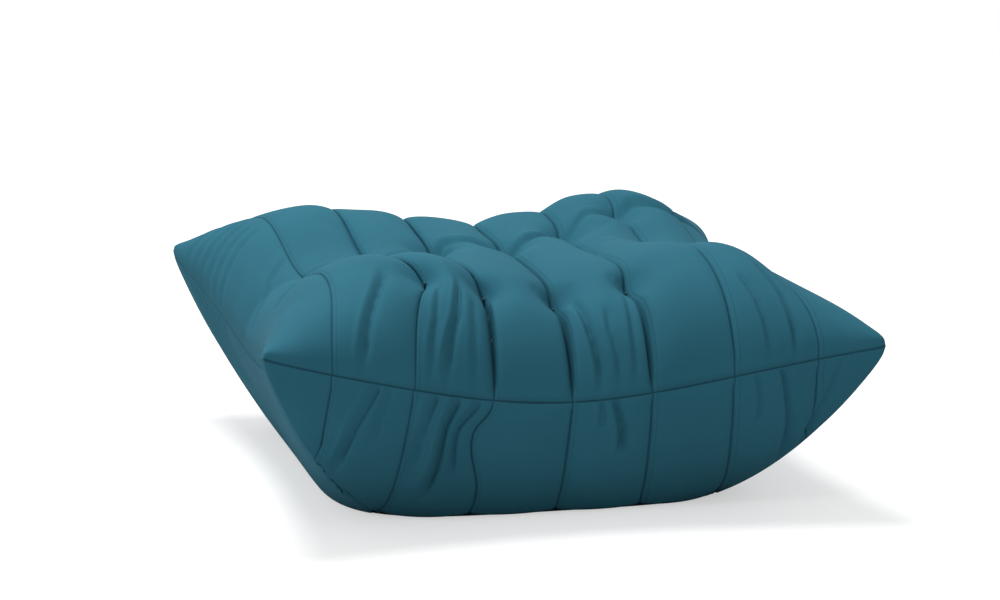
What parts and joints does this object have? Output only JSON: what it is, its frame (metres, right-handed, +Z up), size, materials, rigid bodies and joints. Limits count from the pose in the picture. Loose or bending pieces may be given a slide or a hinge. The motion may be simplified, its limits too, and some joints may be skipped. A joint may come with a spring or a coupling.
{
  "type": "floor cushion",
  "caption": "Low square foam floor cushion or footstool with a quilted velvet cover, tufted channel seams, pointed corners, a flat base and a zip along the rear edge.",
  "frame": {"origin": "on the floor under the middle of the cushion", "axes": "+Z up, +X to the right along the longer side and across the channel seams, -Y towards the front, with the zip at the rear (+Y)"},
  "size_m": [0.8712, 0.8012, 0.3561],
  "materials": {
    "velvet": "soft pile velvet",
    "wadding": "loose polyester quilting",
    "dust_cloth": "matt non-slip cloth",
    "soft_foam": "open-cell foam, soft",
    "medium_foam": "open-cell foam, medium",
    "firm_foam": "open-cell foam, firm",
    "twine": "waxed twine",
    "washer_plastic": "moulded",
    "zip_cloth": "woven tape",
    "zip_plastic": "moulded",
    "zip_metal": "brushed"
  },
  "bodies": {
    "cushion": {"base_cloth": "dust_cloth", "base_foam_firm": "firm_foam", "core_foam_medium": "medium_foam", "lower_cover": "velvet", "lower_quilting": "wadding", "top_foam_soft": "soft_foam", "tuft_tie_front_1": "twine", "tuft_tie_front_2": "twine", "tuft_tie_front_3": "twine", "tuft_tie_front_4": "twine", "tuft_tie_middle_2": "twine", "tuft_tie_middle_3": "twine", "tuft_tie_middle_4": "twine", "tuft_tie_middle_5": "twine", "tuft_tie_rear_2": "twine", "tuft_tie_rear_3": "twine", "tuft_tie_rear_4": "twine", "tuft_tie_rear_5": "twine", "tuft_washer_front_1": "washer_plastic", "tuft_washer_front_2": "washer_plastic", "tuft_washer_front_3": "washer_plastic", "tuft_washer_front_4": "washer_plastic", "tuft_washer_middle_2": "washer_plastic", "tuft_washer_middle_3": "washer_plastic", "tuft_washer_middle_4": "washer_plastic", "tuft_washer_middle_5": "washer_plastic", "tuft_washer_rear_2": "washer_plastic", "tuft_washer_rear_3": "washer_plastic", "tuft_washer_rear_4": "washer_plastic", "tuft_washer_rear_5": "washer_plastic", "upper_cover": "velvet", "upper_quilting": "wadding", "zip_stop_closed_end": "zip_metal", "zip_stop_open_end": "zip_metal", "zip_tape_lower": "zip_cloth", "zip_tape_upper": "zip_cloth", "zip_teeth_lower": "zip_plastic", "zip_teeth_upper": "zip_plastic"},
    "slider": {"zip_slider": "zip_metal"},
    "pull": {"zip_pull": "zip_metal"}
  },
  "joints": [
    {"name": "zip_slide", "type": "slide", "parent": "cushion", "child": "slider", "axis": [-1, 0, 0], "range_m": [0, 0.378]},
    {"name": "pull_swing", "type": "hinge", "parent": "slider", "child": "pull", "pos_m": [0.1896, 0.2795, 0.015], "axis": [0, 0, -1], "range_deg": [0, 150]}
  ]
}
